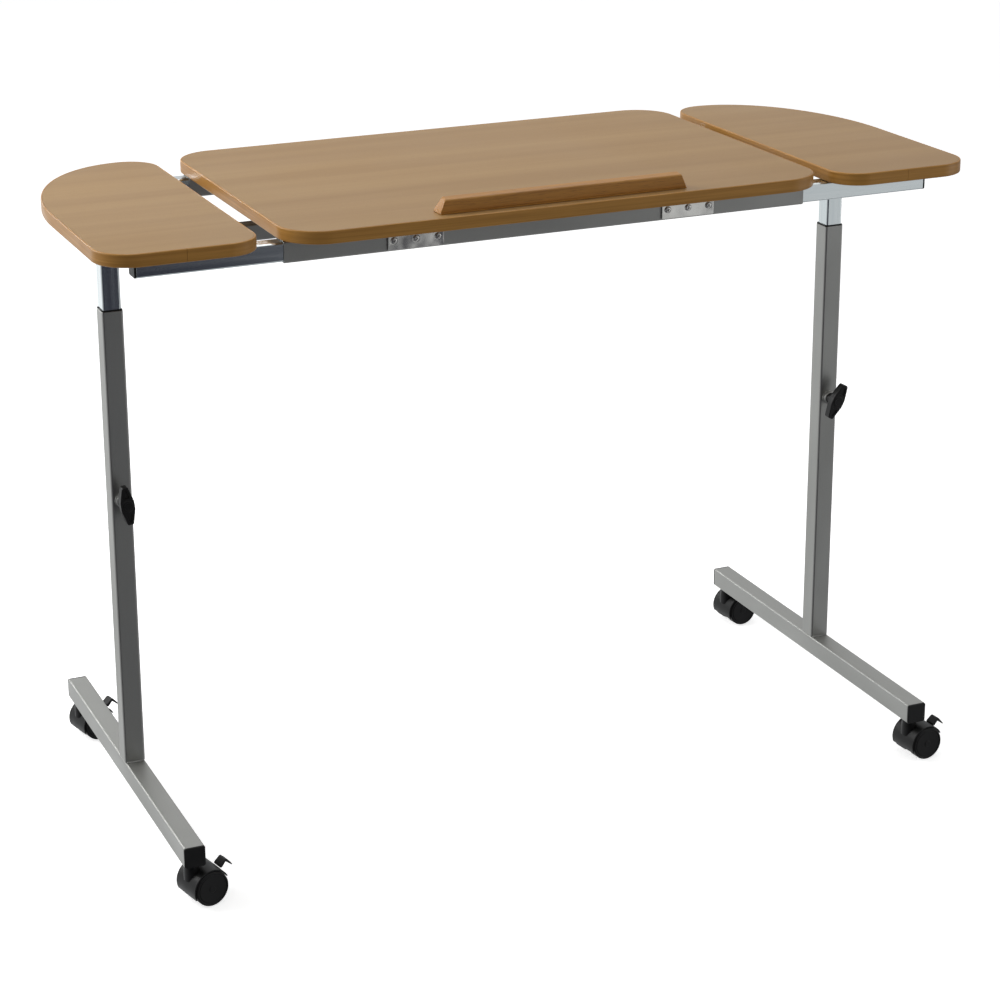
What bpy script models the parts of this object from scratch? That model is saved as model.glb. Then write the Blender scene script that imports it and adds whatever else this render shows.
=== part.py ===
"""Overbed table: a tilting tray, two fixed flaps, a telescopic top frame and two height-adjustable masts.

Metres, +Z up. The table stands on the plane z = 0, its long side runs along X, and the user's side is -Y.
The origin is on the floor, under the middle of the table.
"""

import math

import bmesh
import bpy
from mathutils import Vector

# ---------------------------------------------------------------- driving dimensions
GAP = 0.0003  # clearance kept between touching pieces
TUBE = 0.025  # side of the painted outer tubes
INNER_TUBE = 0.022  # side of the zinc-plated inner tubes
WALL = 0.0012  # wall of every tube
TUBE_CORNER = 0.0025  # outer corner radius of the tubes
BOARD = 0.015  # thickness of the table boards
TRAY_CORNER = 0.050  # corner radius of the tray, seen from above
FLAP_CORNERS = (0.038, 0.044, 0.040)  # the flaps' inner front, outer front and inner back corners
BOARD_EDGE = 0.0015  # rounding along the boards' edges
CAP_SHANK = 0.008  # length of the caps' shanks inside the tubes

MAST_X = 0.474  # middle plane of each mast and foot
MAST_Y = -0.0074  # the masts stand a little in front of the middle of the feet
FOOT_FRONT = -0.251  # ends of the feet, measured from the masts
FOOT_BACK = 0.259
FOOT_Z = 0.052  # underside of the feet
MAST_TOP = 0.6410  # top of the painted outer mast, under its collar
COLLAR = 0.0016  # from the mast's top to the collar's top
INNER_MAST_BOTTOM = 0.155  # 38 mm below the clamp screw with the mast fully raised

RAIL_Y = 0.1715  # top rails, in front of and behind the masts
RAIL_Z = 0.7345  # centre line of the top rails
RAIL_HALF = 0.3245  # half length of the painted rails
SLIDE_END = 0.4935  # outer end of the zinc slide rails, with their caps
SLIDE_INSIDE = 0.030  # inner end of the slide rails

TRAY_HALF = 0.3315
TRAY_FRONT = -0.230  # from the masts
TRAY_BACK = 0.216
TRAY_Z = 0.7505  # underside of the tray
LEDGE_FRONT = TRAY_FRONT + 0.015
LEDGE_HALF = 0.153
LEDGE_DEPTH = 0.020
LEDGE_HEIGHT = 0.018
FLAP_INSIDE = 0.357  # inner edge of each flap
FLAP_WIDTH = 0.181
FLAP_DEPTH = 0.440

TILT_Y = -0.1860  # tray hinge axis, from the masts
TILT_Z = 0.7475
BAIL_REACH = 0.160  # hinge axis to bail pivot, and bail pivot to bail foot
BAIL_X = 0.226  # legs of the bail
BAIL_RADIUS = 0.0025

TIE_X = 0.205
TIE_SIZE = (0.020, 0.015)  # width and height of the ties under the tray
TIE_TOP = 0.740
MID_TUBE = 0.020  # square tube under the ties
MID_HALF = 0.318

HINGE_X = 0.170  # middle of each tray hinge
HINGE_LENGTH = 0.067
LEAF = 0.0018  # thickness of a hinge leaf
BARREL = 0.0022  # radius of a hinge knuckle
PIN = 0.0009
KNUCKLE = HINGE_LENGTH / 3

KNOB_Z = 0.413  # height knobs, on the masts' front faces
WIDTH_KNOB_X = 0.238  # width knobs, under the rear rail
BOSS_LENGTH = 0.006
BOSS_RADIUS = 0.008
STUD_RADIUS = 0.003
HUB_RADIUS = 0.0075
WING_BACK = BOSS_LENGTH + 0.0085  # the wing's two faces, from the tube
WING_FACE = BOSS_LENGTH + 0.020
WING_REACH = 0.0235  # half length of the wing
WING_TIP = 0.0036  # half width at its ends, and at its hub
WING_HALF = 0.0084
WING_SHOULDER = 0.005
KNOB_LEANS = {"left": math.radians(97), "right": math.radians(63)}  # from +X, seen from the front

CASTOR_INSET = 0.017  # castor stem to foot end
WHEEL_RADIUS = 0.021
CASTOR_WIDTH = 0.044
CASTOR_TRAIL = 0.0145
LEFT_HEADING = math.radians(13.0)  # direction in which the wheels trail, from +X
RIGHT_HEADING = math.radians(5.0)
STEM_RADIUS = 0.004
STEM_FLANGE = FOOT_Z - 0.0028  # underside of the stem's flange
STEM_BOTTOM = 0.0365
STEM_TOP = FOOT_Z + 0.018
NECK_RADIUS = 0.0085
HOOD_RADIUS = 0.0232
HOOD_BORE = 0.0217
WEB_HALF = 0.0085  # half thickness of the hood's middle wall
AXLE_RADIUS = 0.003
BRAKE_PIVOT = (0.0207, 0.0162)  # pedal hinge, from the wheel axis

SIDES = {"left": -1, "right": 1}


# ---------------------------------------------------------------- materials
def material(name, colour, roughness, metallic=0.0):
    mat = bpy.data.materials.new(name)
    mat.use_nodes = True
    shader = mat.node_tree.nodes["Principled BSDF"]
    shader.inputs["Base Color"].default_value = (*colour, 1.0)
    shader.inputs["Roughness"].default_value = roughness
    shader.inputs["Metallic"].default_value = metallic
    return mat


# ---------------------------------------------------------------- outlines
def arc(centre, radius, start, end, steps):
    """Points of an arc, angles in degrees; radius is one number or a pair of semi-axes."""
    rx, ry = radius if isinstance(radius, tuple) else (radius, radius)
    points = []
    for i in range(steps + 1):
        angle = math.radians(start + (end - start) * i / steps)
        points.append((centre[0] + rx * math.cos(angle), centre[1] + ry * math.sin(angle)))
    return points


def rounded_rectangle(width, depth, radius, steps=3):
    """Anticlockwise outline centred on the origin."""
    x = width / 2 - radius
    y = depth / 2 - radius
    corners = [(x, y, 0), (-x, y, 90), (-x, -y, 180), (x, -y, 270)]
    outline = []
    for cx, cy, start in corners:
        outline += arc((cx, cy), radius, start, start + 90, steps)
    return outline


def flap_outline(side):
    """Flap seen from above: square-cut inner half, and one sweeping curve round its outer back corner."""
    inner_radius, outer_radius, back_radius = FLAP_CORNERS
    sweep_start = 0.215  # where the straight outer edge ends, from the front edge
    outline = arc((inner_radius, inner_radius), inner_radius, 180, 270, 8)
    outline += arc((FLAP_WIDTH - outer_radius, outer_radius), outer_radius, 270, 360, 8)
    sweep = (FLAP_WIDTH - back_radius, FLAP_DEPTH - sweep_start)
    outline += arc((back_radius, sweep_start), sweep, 0, 90, 18)
    outline += arc((back_radius, FLAP_DEPTH - back_radius), back_radius, 90, 180, 6)[1:]
    outline = [(side * (FLAP_INSIDE + u), v - FLAP_DEPTH / 2) for u, v in outline]
    return outline if side > 0 else outline[::-1]


def wing_outline():
    """Long lozenge of a wing knob: widest at its hub, with blunt ends."""
    corner = 0.001
    quarter = [(WING_REACH, WING_TIP - corner), (WING_REACH - corner, WING_TIP), (WING_SHOULDER, WING_HALF)]
    half = quarter + [(-x, y) for x, y in reversed(quarter)]
    return half + [(-x, -y) for x, y in half]


# ---------------------------------------------------------------- solids
def place(obj, location, rotation, parent):
    obj.rotation_euler = rotation
    obj.location = location
    if parent is not None:
        obj.parent = parent
        obj.location = Vector(location) - parent.location
    return obj


def finish(name, bm, mat, location=(0, 0, 0), rotation=(0, 0, 0), parent=None, smooth=False):
    bmesh.ops.recalc_face_normals(bm, faces=bm.faces)
    mesh = bpy.data.meshes.new(name)
    bm.to_mesh(mesh)
    bm.free()
    if mat is not None:
        mesh.materials.append(mat)
    if smooth:
        mesh.shade_smooth()
        mesh.set_sharp_from_angle(angle=math.radians(35))
    obj = bpy.data.objects.new(name, mesh)
    bpy.context.collection.objects.link(obj)
    return place(obj, location, rotation, parent)


def loop_verts(bm, outline, z):
    return [bm.verts.new((x, y, z)) for x, y in outline]


def bridge(bm, lower, upper):
    count = len(lower)
    for i in range(count):
        j = (i + 1) % count
        bm.faces.new((lower[i], lower[j], upper[j], upper[i]))


def stack(bm, layers):
    """Closed solid through a list of (outline, z) layers that have the same number of points."""
    rings = [loop_verts(bm, outline, z) for outline, z in layers]
    for lower, upper in zip(rings, rings[1:]):
        bridge(bm, lower, upper)
    bm.faces.new(rings[0][::-1])
    bm.faces.new(rings[-1])


def prism(outline, z0, z1):
    bm = bmesh.new()
    stack(bm, [(outline, z0), (outline, z1)])
    return bm


def hollow_prism(outer, inner, z0, z1):
    bm = bmesh.new()
    rings = [loop_verts(bm, outline, z) for outline in (outer, inner) for z in (z0, z1)]
    outer_low, outer_high, inner_low, inner_high = rings
    bridge(bm, outer_low, outer_high)
    bridge(bm, inner_high, inner_low)
    bridge(bm, inner_low, outer_low)
    bridge(bm, outer_high, inner_high)
    return bm


def tube_section(width, height, z0, z1):
    outer = rounded_rectangle(width, height, TUBE_CORNER)
    inner = rounded_rectangle(width - 2 * WALL, height - 2 * WALL, TUBE_CORNER - WALL)
    return hollow_prism(outer, inner, z0, z1)


def lathe(profile, segments):
    """Closed turned solid; the profile runs from (0, z) to (0, z)."""
    bm = bmesh.new()
    rings = []
    for radius, z in profile[1:-1]:
        rings.append(loop_verts(bm, arc((0, 0), radius, 0, 360, segments)[:-1], z))
    for lower, upper in zip(rings, rings[1:]):
        bridge(bm, lower, upper)
    bm.faces.new(rings[0][::-1])
    bm.faces.new(rings[-1])
    return bm


def cylinder(radius, z0, z1, segments=20):
    return lathe([(0, z0), (radius, z0), (radius, z1), (0, z1)], segments)


def box(x0, x1, y0, y1, z0, z1):
    return prism([(x0, y0), (x1, y0), (x1, y1), (x0, y1)], z0, z1)


def rod_along(path, radius, segments=8):
    """Round bar along a flat path of (x, y) points, at z = 0."""
    bm = bmesh.new()
    rings = []
    for i, point in enumerate(path):
        before = Vector(path[max(i - 1, 0)])
        after = Vector(path[min(i + 1, len(path) - 1)])
        along = (after - before).normalized()
        across = Vector((along.y, -along.x))
        ring = []
        for k in range(segments):
            angle = 2 * math.pi * k / segments
            flat = Vector(point) + across * radius * math.cos(angle)
            ring.append(bm.verts.new((flat.x, flat.y, radius * math.sin(angle))))
        rings.append(ring)
    for lower, upper in zip(rings, rings[1:]):
        bridge(bm, lower, upper)
    bm.faces.new(rings[0])
    bm.faces.new(rings[-1])
    return bm


def operand(obj):
    """Marks an object as a guide that only shapes another object."""
    obj.hide_render = True
    obj.display_type = "WIRE"
    return obj


def combine(target, tool, operation):
    """Boolean of a hidden operand into target."""
    modifier = target.modifiers.new(operation.lower(), "BOOLEAN")
    modifier.operation = operation
    modifier.solver = "EXACT"
    modifier.object = operand(tool)


# ---------------------------------------------------------------- repeated sub-parts
ALONG_X = (0, math.pi / 2, 0)
ALONG_Y = (-math.pi / 2, 0, 0)


def end_cap(name, size, flange, plug, mat, location, rotation, parent):
    """Moulded plug: a flange as wide as the tube and a shank inside it. Local +Z points out of the tube."""
    inside = size - 2 * (WALL + GAP)
    shank = rounded_rectangle(inside, inside, TUBE_CORNER - WALL)
    face = rounded_rectangle(size, size, TUBE_CORNER)
    front = rounded_rectangle(size - 0.0016, size - 0.0016, TUBE_CORNER - 0.0008)
    bm = bmesh.new()
    stack(bm, [(shank, -plug), (shank, GAP), (face, GAP), (face, flange - 0.0008), (front, flange)])
    finish(name, bm, mat, location, rotation, parent)


def add_boss(target, location, rotation):
    """Welded nut on a tube wall, with the bore of its clamp screw. Local +Z points out of the wall."""
    boss = finish("boss", cylinder(BOSS_RADIUS, -WALL / 2, BOSS_LENGTH, 16), None, location, rotation)
    bore = cylinder(STUD_RADIUS + GAP, -2 * WALL, BOSS_LENGTH + 2 * WALL, 12)
    bore = finish("bore", bore, None, location, rotation)
    combine(target, boss, "UNION")
    combine(target, bore, "DIFFERENCE")


def wing_knob(name, mat, location, rotation, pivot):
    """Wing knob with its clamp screw. Local +Z points away from the tube, z = 0 is the tube's face."""
    chamfer = 0.001
    outline = wing_outline()
    small = inset_outline(outline, chamfer)
    bm = bmesh.new()
    layers = [(small, WING_BACK), (outline, WING_BACK + chamfer)]
    stack(bm, layers + [(outline, WING_FACE - chamfer), (small, WING_FACE)])
    knob = finish(name, bm, mat, location, rotation, pivot)
    hub = cylinder(HUB_RADIUS, BOSS_LENGTH + GAP, WING_FACE - chamfer, 16)
    screw = cylinder(STUD_RADIUS, -WALL + GAP / 2, WING_BACK + 0.006, 12)
    combine(knob, finish("hub", hub, None, location, rotation, pivot), "UNION")
    combine(knob, finish("screw", screw, None, location, rotation, pivot), "UNION")


def pivot_at(name, location, heading=0.0):
    empty = bpy.data.objects.new(name, None)
    bpy.context.collection.objects.link(empty)
    empty.location = location
    empty.rotation_euler = (0, 0, heading)
    return empty


# ---------------------------------------------------------------- centre frame
def build_centre_frame(paint, steel):
    for name, sign in (("front_rail", -1), ("rear_rail", 1)):
        y = MAST_Y + sign * RAIL_Y
        section = tube_section(TUBE, TUBE, -RAIL_HALF, RAIL_HALF)
        rail = finish(name, section, paint, (0, y, RAIL_Z), ALONG_X)
        if sign > 0:
            for direction in SIDES.values():
                add_boss(rail, (direction * WIDTH_KNOB_X, y, RAIL_Z - TUBE / 2), (math.pi, 0, 0))
    inside = RAIL_Y - TUBE / 2 - GAP
    tie_z = TIE_TOP - TIE_SIZE[1] / 2
    for side, direction in SIDES.items():
        tie = tube_section(*TIE_SIZE, -inside, inside)
        finish(side + "_tie", tie, paint, (direction * TIE_X, MAST_Y, tie_z), ALONG_Y)
        build_rack(side + "_rack", steel, direction * TIE_X)
    mid_z = TIE_TOP - TIE_SIZE[1] - GAP - MID_TUBE / 2
    mid = tube_section(MID_TUBE, MID_TUBE, -MID_HALF, MID_HALF)
    finish("mid_rail", mid, paint, (0, MAST_Y, mid_z), ALONG_X)


def build_rack(name, mat, x):
    """Toothed strip on a tie: the bail's foot bar drops between its teeth."""
    pitch, count = 0.010, 8
    root, crest = 0.0018, 0.0042
    start = TILT_Y + 2 * BAIL_REACH - count * pitch + 0.006
    outline = [(0, 0), (count * pitch, 0)]
    for i in reversed(range(count)):
        outline.append(((i + 1) * pitch, crest))
        outline.append((i * pitch + 0.003, root))
    outline.append((0, crest))
    rotation = (math.pi / 2, 0, math.pi / 2)
    finish(name, prism(outline, -0.005, 0.005), mat, (x, MAST_Y + start, TIE_TOP + GAP), rotation)


# ---------------------------------------------------------------- tray and its hinges
def build_hinge(side, direction, steel, tilt):
    """Butt hinge: a leaf on the front rail's face, a leaf under the tray, and knuckles on the tilt axis."""
    x = direction * HINGE_X
    y = MAST_Y + TILT_Y
    half = HINGE_LENGTH / 2
    rail_face = MAST_Y - RAIL_Y - TUBE / 2 - GAP
    low = RAIL_Z - 0.0105
    top = TILT_Z - BARREL - 0.0004
    leaf = box(x - half, x + half, rail_face - LEAF, rail_face, low, top)
    frame_leaf = finish(side + "_hinge_frame_leaf", leaf, steel)
    for k in (-1, 1):
        x0 = x + k * KNUCKLE - KNUCKLE / 2 + GAP
        x1 = x + k * KNUCKLE + KNUCKLE / 2 - GAP
        tab = box(x0, x1, rail_face - LEAF, rail_face, top - 0.001, TILT_Z)
        combine(frame_leaf, finish("tab", tab, None), "UNION")
        knuckle = cylinder(BARREL, -(x1 - x0) / 2, (x1 - x0) / 2, 16)
        combine(frame_leaf, finish("knuckle", knuckle, None, ((x0 + x1) / 2, y, TILT_Z), ALONG_X), "UNION")
    pin = cylinder(PIN, -half + 0.002, half - 0.002, 10)
    combine(frame_leaf, finish("pin", pin, None, (x, y, TILT_Z), ALONG_X), "UNION")

    z1 = TRAY_Z - 0.0005
    leaf = box(x - half, x + half, y + 0.0028, y + 0.026, z1 - LEAF, z1)
    tray_leaf = finish(side + "_hinge_tray_leaf", leaf, steel)
    place(tray_leaf, (0, 0, 0), (0, 0, 0), tilt)
    middle = KNUCKLE / 2 - GAP
    tab = finish("tab", box(x - middle, x + middle, y, y + 0.004, z1 - LEAF, z1 - GAP), None)
    combine(tray_leaf, tab, "UNION")
    knuckle = finish("knuckle", cylinder(BARREL, -middle, middle, 16), None, (x, y, TILT_Z), ALONG_X)
    combine(tray_leaf, knuckle, "UNION")
    bore = cylinder(PIN + GAP, -middle - 0.001, middle + 0.001, 10)
    bore = finish("bore", bore, None, (x, y, TILT_Z), ALONG_X)
    combine(tray_leaf, bore, "DIFFERENCE")


def board_layers(outline_of, z0):
    """Board with softened edges: outline_of(inset) gives its outline."""
    return [
        (outline_of(BOARD_EDGE), z0),
        (outline_of(0.0), z0 + BOARD_EDGE),
        (outline_of(0.0), z0 + BOARD - BOARD_EDGE),
        (outline_of(BOARD_EDGE), z0 + BOARD),
    ]


def inset_outline(outline, inset):
    """Moves every point of a closed anticlockwise outline inwards by inset."""
    count = len(outline)
    moved = []
    for i in range(count):
        before = Vector(outline[i - 1])
        here = Vector(outline[i])
        after = Vector(outline[(i + 1) % count])
        n1 = Vector((before.y - here.y, here.x - before.x)).normalized()
        n2 = Vector((here.y - after.y, after.x - here.x)).normalized()
        bisector = (n1 + n2).normalized()
        moved.append(tuple(here + bisector * inset / max(bisector.dot(n1), 0.5)))
    return moved


def build_tray(wood, steel, tilt):
    depth = TRAY_BACK - TRAY_FRONT
    middle = MAST_Y + (TRAY_BACK + TRAY_FRONT) / 2
    flat = rounded_rectangle(2 * TRAY_HALF, depth, TRAY_CORNER, 8)
    bm = bmesh.new()
    stack(bm, board_layers(lambda inset: inset_outline(flat, inset), TRAY_Z))
    finish("tray_board", bm, wood, (0, middle, 0), parent=tilt)

    profile = [(0, 0), (0, LEDGE_HEIGHT * 0.62)]
    profile += arc((0.006, LEDGE_HEIGHT - 0.006), 0.006, 165, 90, 4)
    profile += [(0.012, LEDGE_HEIGHT), (LEDGE_DEPTH, LEDGE_HEIGHT * 0.35), (LEDGE_DEPTH, 0)]
    rotation = (math.pi / 2, 0, math.pi / 2)
    place_at = (0, MAST_Y + LEDGE_FRONT, TRAY_Z + BOARD + GAP)
    ledge = prism(profile[::-1], -LEDGE_HALF, LEDGE_HALF)
    finish("book_ledge", ledge, wood, place_at, rotation, tilt)

    for side, direction in SIDES.items():
        build_hinge(side, direction, steel, tilt)
        outline = saddle_outline()
        x = direction * (BAIL_X + 0.015)
        location = (x, MAST_Y + TILT_Y + BAIL_REACH, TILT_Z)
        finish(side + "_bail_saddle", prism(outline, -0.005, 0.005), steel, location, rotation, tilt)


def saddle_outline():
    """Strap under the bail's pivot, with a flange on each side against the tray."""
    inner = BAIL_RADIUS + 0.0004
    outer = inner + 0.0015
    top = TRAY_Z - 0.0004 - TILT_Z
    flange = top - 0.0015
    outline = [(-0.011, top), (-0.011, flange)]
    outline += [(-outer, flange)] + arc((0, 0), outer, 180, 360, 12)[1:-1] + [(outer, flange)]
    outline += [(0.011, flange), (0.011, top)]
    outline += [(inner, top)] + arc((0, 0), inner, 360, 180, 12) + [(-inner, top)]
    return outline


def build_bail(steel, tilt):
    """Bent rod that props the tray: two legs, a foot bar behind them, and pivots turned outwards."""
    pivot_y = MAST_Y + TILT_Y + BAIL_REACH
    pivot = pivot_at("bail_pivot", (0, pivot_y, TILT_Z))
    bend = 0.008
    path = [(-BAIL_X - 0.022, 0)]
    path += arc((-BAIL_X - bend, bend), bend, 270, 360, 5)
    path += arc((-BAIL_X + bend, BAIL_REACH - bend), bend, 180, 90, 5)
    path += [(-x, y) for x, y in reversed(path)]
    finish("tilt_bail", rod_along(path, BAIL_RADIUS), steel, pivot.location, parent=pivot, smooth=True)
    place(pivot, pivot.location, (0, 0, 0), tilt)


# ---------------------------------------------------------------- side frames
def build_side_frame(side, direction, wood, zinc, plastic):
    cap = 0.0025
    outer_end = SLIDE_END - cap
    for name, sign in (("front", -1), ("rear", 1)):
        y = MAST_Y + sign * RAIL_Y
        middle = direction * (outer_end + SLIDE_INSIDE) / 2
        half = (outer_end - SLIDE_INSIDE) / 2
        finish(f"{side}_{name}_slide_rail", tube_section(INNER_TUBE, INNER_TUBE, -half, half), zinc,
               (middle, y, RAIL_Z), ALONG_X)
        outwards = (0, direction * math.pi / 2, 0)
        end_cap(f"{side}_{name}_slide_cap", INNER_TUBE, cap, CAP_SHANK, plastic,
                (direction * outer_end, y, RAIL_Z), outwards, None)
    half = RAIL_Y - INNER_TUBE / 2 - GAP
    finish(side + "_cross_member", tube_section(INNER_TUBE, INNER_TUBE, -half, half), zinc,
           (direction * MAST_X, MAST_Y, RAIL_Z), ALONG_Y)
    top = RAIL_Z - INNER_TUBE / 2 - GAP
    finish(side + "_inner_mast", tube_section(INNER_TUBE, INNER_TUBE, INNER_MAST_BOTTOM, top), zinc,
           (direction * MAST_X, MAST_Y, 0))
    outline = flap_outline(direction)
    bm = bmesh.new()
    stack(bm, board_layers(lambda inset: inset_outline(outline, inset), RAIL_Z + INNER_TUBE / 2 + GAP))
    finish(side + "_flap_board", bm, wood, (0, MAST_Y, 0))


# ---------------------------------------------------------------- masts and feet
def build_base(side, direction, paint, plastic):
    x = direction * MAST_X
    flange = 0.0025
    foot_top = FOOT_Z + TUBE
    mast = tube_section(TUBE, TUBE, foot_top + GAP, MAST_TOP)
    mast = finish(side + "_mast_tube", mast, paint, (x, MAST_Y, 0))
    face = (x, MAST_Y - TUBE / 2, KNOB_Z)
    add_boss(mast, face, (math.pi / 2, 0, 0))

    bore = INNER_TUBE + 2 * GAP
    collar_inside = rounded_rectangle(bore, bore, TUBE_CORNER - WALL / 2)
    collar_outside = rounded_rectangle(TUBE, TUBE, TUBE_CORNER)
    collar = hollow_prism(collar_outside, collar_inside, MAST_TOP + GAP, MAST_TOP + COLLAR)
    finish(side + "_mast_collar", collar, plastic, (x, MAST_Y, 0))

    y0 = MAST_Y + FOOT_FRONT + flange
    y1 = MAST_Y + FOOT_BACK - flange
    half = (y1 - y0) / 2
    foot = finish(side + "_foot_tube", tube_section(TUBE, TUBE, -half, half), paint,
                  (x, (y0 + y1) / 2, FOOT_Z + TUBE / 2), ALONG_Y)
    for name, y, turn in (("front", y0, math.pi / 2), ("rear", y1, -math.pi / 2)):
        middle = (x, y, FOOT_Z + TUBE / 2)
        end_cap(f"{side}_{name}_foot_cap", TUBE, flange, CAP_SHANK, plastic, middle, (turn, 0, 0), None)
    for y in castor_rows():
        hole = cylinder(STEM_RADIUS + GAP, FOOT_Z - 0.003, FOOT_Z + 0.003, 16)
        combine(foot, finish("stem_hole", hole, None, (x, y, 0)), "DIFFERENCE")


# ---------------------------------------------------------------- castors
def castor_rows():
    return (MAST_Y + FOOT_FRONT + CASTOR_INSET, MAST_Y + FOOT_BACK - CASTOR_INSET)


def hood_outline():
    """Side view of the hood shell, wheel axis at (0, 0), leading side at -x: an arch round the wheels."""
    lead, trail = 202, 28
    outside = arc((0, 0), HOOD_RADIUS, trail, lead, 18)
    inside = arc((0, 0), HOOD_BORE, lead, trail, 18)
    return outside + inside


def web_outline():
    """Side view of the hood's middle wall, from the axle up to the shell."""
    reach = HOOD_BORE + 0.0006
    return arc((0, 0), reach, 60, 175, 10) + arc((0, 0), 0.0075, 215, 380, 10)


def build_castor(name, location, heading, steel, plastic):
    x, y = location
    profile = [(0, STEM_BOTTOM), (STEM_RADIUS, STEM_BOTTOM)]
    profile += [(STEM_RADIUS, STEM_FLANGE), (NECK_RADIUS, STEM_FLANGE)]
    profile += [(NECK_RADIUS, FOOT_Z - GAP), (STEM_RADIUS, FOOT_Z - GAP)]
    profile += [(STEM_RADIUS, STEM_TOP), (0, STEM_TOP)]
    finish(name + "_stem", lathe(profile, 16), steel, (x, y, 0), smooth=True)

    swivel = pivot_at(name + "_swivel", (x, y, 0), heading)
    axle = Vector((CASTOR_TRAIL, 0, WHEEL_RADIUS))
    across = (math.pi / 2, 0, 0)
    half = CASTOR_WIDTH / 2 - 0.001
    hood = child(name + "_hood", prism(hood_outline(), -half, half), plastic, axle, across, swivel)
    web = child("web", prism(web_outline(), -WEB_HALF, WEB_HALF), None, axle, across, swivel)
    neck_top = STEM_FLANGE - GAP
    neck = child("neck", cylinder(NECK_RADIUS, 0.030, neck_top, 20), None, (0, 0, 0), (0, 0, 0), swivel)
    socket = cylinder(STEM_RADIUS + GAP, STEM_BOTTOM - GAP, neck_top + 0.002, 16)
    socket = child("socket", socket, None, (0, 0, 0), (0, 0, 0), swivel)
    axle_bore = cylinder(AXLE_RADIUS + GAP, -CASTOR_WIDTH / 2, CASTOR_WIDTH / 2, 16)
    axle_bore = child("axle_bore", axle_bore, None, axle, across, swivel)
    combine(hood, web, "UNION")
    combine(hood, neck, "UNION")
    combine(hood, socket, "DIFFERENCE")
    combine(hood, axle_bore, "DIFFERENCE")

    side = CASTOR_WIDTH / 2
    inner = WEB_HALF + GAP
    tread = 0.0015
    rim = WHEEL_RADIUS - tread
    profile = [(0, -side), (rim, -side), (WHEEL_RADIUS, tread - side)]
    profile += [(WHEEL_RADIUS, -inner - tread), (rim, -inner), (AXLE_RADIUS, -inner)]
    profile += [(radius, -z) for radius, z in reversed(profile)]
    wheels = child(name + "_wheels", lathe(profile, 24), plastic, axle, across, swivel)
    wheels.data.shade_smooth()
    wheels.data.set_sharp_from_angle(angle=math.radians(35))
    build_brake(name + "_brake", plastic, axle, across, swivel)


def child(name, bm, mat, location, rotation, parent):
    """Object placed in its parent's own axes."""
    obj = finish(name, bm, mat, location, rotation)
    obj.parent = parent
    return obj


def build_brake(name, mat, axle, across, swivel):
    """Pedal on the trailing side of the hood: it turns about a line parallel to the axle."""
    x, y = BRAKE_PIVOT
    apex = (x + 0.0058, y + 0.0063)
    tip = (x + 0.0148, y - 0.0017)
    outline = arc(BRAKE_PIVOT, 0.0022, 135, 315, 6)
    outline += [(apex[0] + 0.0002, apex[1] - 0.0024), (tip[0] - 0.0010, tip[1] - 0.0009)]
    outline += [tip, (apex[0] + 0.0012, apex[1] + 0.0008), (apex[0] - 0.0008, apex[1] + 0.0008)]
    child(name, prism(outline, -0.0065, 0.0065), mat, axle, across, swivel)


def main():
    for obj in list(bpy.data.objects):
        bpy.data.objects.remove(obj, do_unlink=True)

    paint = material("silver_paint", (0.33, 0.34, 0.33), 0.38, 0.35)
    zinc = material("zinc_plate", (0.62, 0.66, 0.68), 0.28, 1.0)
    steel = material("bright_steel", (0.70, 0.70, 0.68), 0.25, 1.0)
    wood = material("beech_laminate", (0.47, 0.32, 0.20), 0.35)
    plastic = material("black_plastic", (0.02, 0.02, 0.02), 0.45)

    build_centre_frame(paint, steel)
    tilt = pivot_at("tray_tilt", (0, MAST_Y + TILT_Y, TILT_Z))
    build_tray(wood, steel, tilt)
    build_bail(steel, tilt)

    headings = {"left": LEFT_HEADING, "right": RIGHT_HEADING}
    for side, direction in SIDES.items():
        build_side_frame(side, direction, wood, zinc, plastic)
        build_base(side, direction, paint, plastic)
        x = direction * MAST_X
        height_pivot = pivot_at(side + "_height_knob_pivot", (x, MAST_Y - TUBE / 2, KNOB_Z))
        turned = (math.pi / 2, -KNOB_LEANS[side], 0)
        wing_knob(side + "_height_knob", plastic, height_pivot.location, turned, height_pivot)
        under_rail = (direction * WIDTH_KNOB_X, MAST_Y + RAIL_Y, RAIL_Z - TUBE / 2)
        width_pivot = pivot_at(side + "_width_knob_pivot", under_rail)
        wing_knob(side + "_width_knob", plastic, width_pivot.location, (math.pi, 0, 0), width_pivot)
        for row, y in zip(("front", "rear"), castor_rows()):
            build_castor(f"{side}_{row}_castor", (x, y), headings[side], steel, plastic)


main()
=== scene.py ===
"""Overbed table: the looks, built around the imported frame. Metres, +Z up, the user's side is -Y."""

import math

import bmesh
import bpy
from mathutils import Euler, Matrix, Vector


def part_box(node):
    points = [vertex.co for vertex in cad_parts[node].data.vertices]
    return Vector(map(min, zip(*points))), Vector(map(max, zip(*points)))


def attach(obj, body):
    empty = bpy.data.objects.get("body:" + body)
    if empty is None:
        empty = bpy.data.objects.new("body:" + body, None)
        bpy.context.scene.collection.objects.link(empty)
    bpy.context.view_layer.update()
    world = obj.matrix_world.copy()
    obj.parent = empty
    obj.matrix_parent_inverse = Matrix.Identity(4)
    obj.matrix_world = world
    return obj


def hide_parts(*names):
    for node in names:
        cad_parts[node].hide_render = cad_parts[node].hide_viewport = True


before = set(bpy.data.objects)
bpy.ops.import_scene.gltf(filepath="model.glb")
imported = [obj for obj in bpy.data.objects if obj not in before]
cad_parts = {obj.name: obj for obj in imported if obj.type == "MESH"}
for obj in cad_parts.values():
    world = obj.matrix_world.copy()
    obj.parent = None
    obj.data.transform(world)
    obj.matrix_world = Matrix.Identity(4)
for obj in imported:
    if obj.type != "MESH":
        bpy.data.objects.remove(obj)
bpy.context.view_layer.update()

# ---- dimensions shared with the frame
GAP = 0.0003
TUBE = 0.025
INNER_TUBE = 0.022
WALL = 0.0012
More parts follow.
